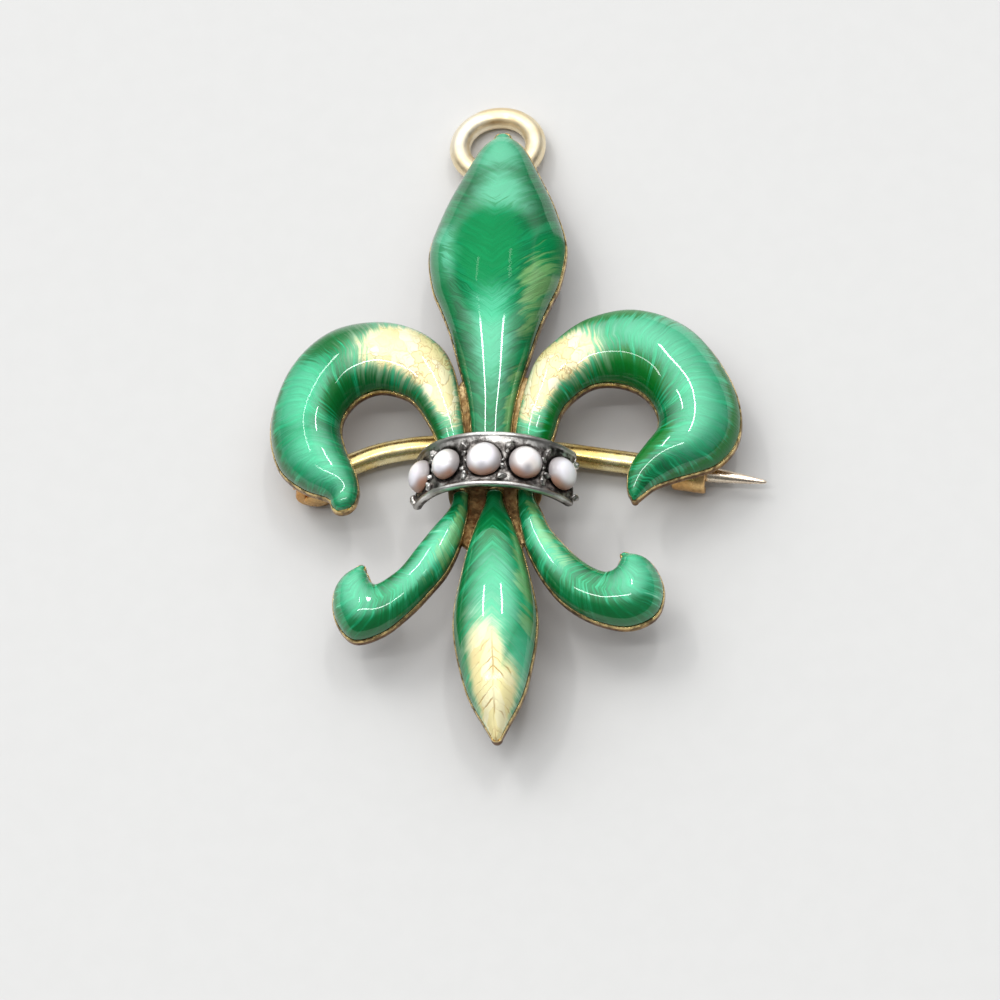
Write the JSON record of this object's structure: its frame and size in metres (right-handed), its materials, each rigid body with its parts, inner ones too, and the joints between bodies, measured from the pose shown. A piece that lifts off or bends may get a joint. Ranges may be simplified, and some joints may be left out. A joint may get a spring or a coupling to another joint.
{
  "type": "fleur-de-lis watch pin",
  "caption": "Enamelled gold fleur-de-lis brooch pin with a pearl-set band, a ring at the top, a hinged pin stem and a hook behind for hanging a watch.",
  "frame": {"origin": "on the plane that the pin lies on, under the middle of the flower", "axes": "+Z away from the surface toward the enamelled front, +Y along the flower toward the ring, +X toward the point of the closed pin stem"},
  "size_m": [0.022, 0.0326, 0.0059],
  "materials": {
    "gold": "satin, worn and darker in the hollows",
    "stem_gold": "polished",
    "enamel": "glossy translucent green over engraved gold, shaded to cream",
    "silver": "oxidised, with bright worn edges",
    "pearl": "soft lustre"
  },
  "bodies": {
    "flower": {"fleur_body": "gold", "hinge_rivet": "gold", "enamel_top_petal": "enamel", "enamel_left_petal": "enamel", "enamel_right_petal": "enamel", "enamel_left_scroll": "enamel", "enamel_right_scroll": "enamel", "enamel_bottom_petal": "enamel", "band": "silver", "pearl_1": "pearl", "pearl_2": "pearl", "pearl_3": "pearl", "pearl_4": "pearl", "pearl_5": "pearl"},
    "stem": {"pin_stem": "stem_gold"}
  },
  "joints": [
    {"name": "stem_swing", "type": "hinge", "parent": "flower", "child": "stem", "pos_m": [-0.0083, 0.0018, 0.0009], "axis": [0, 1, 0], "range_deg": [0, 110]}
  ]
}
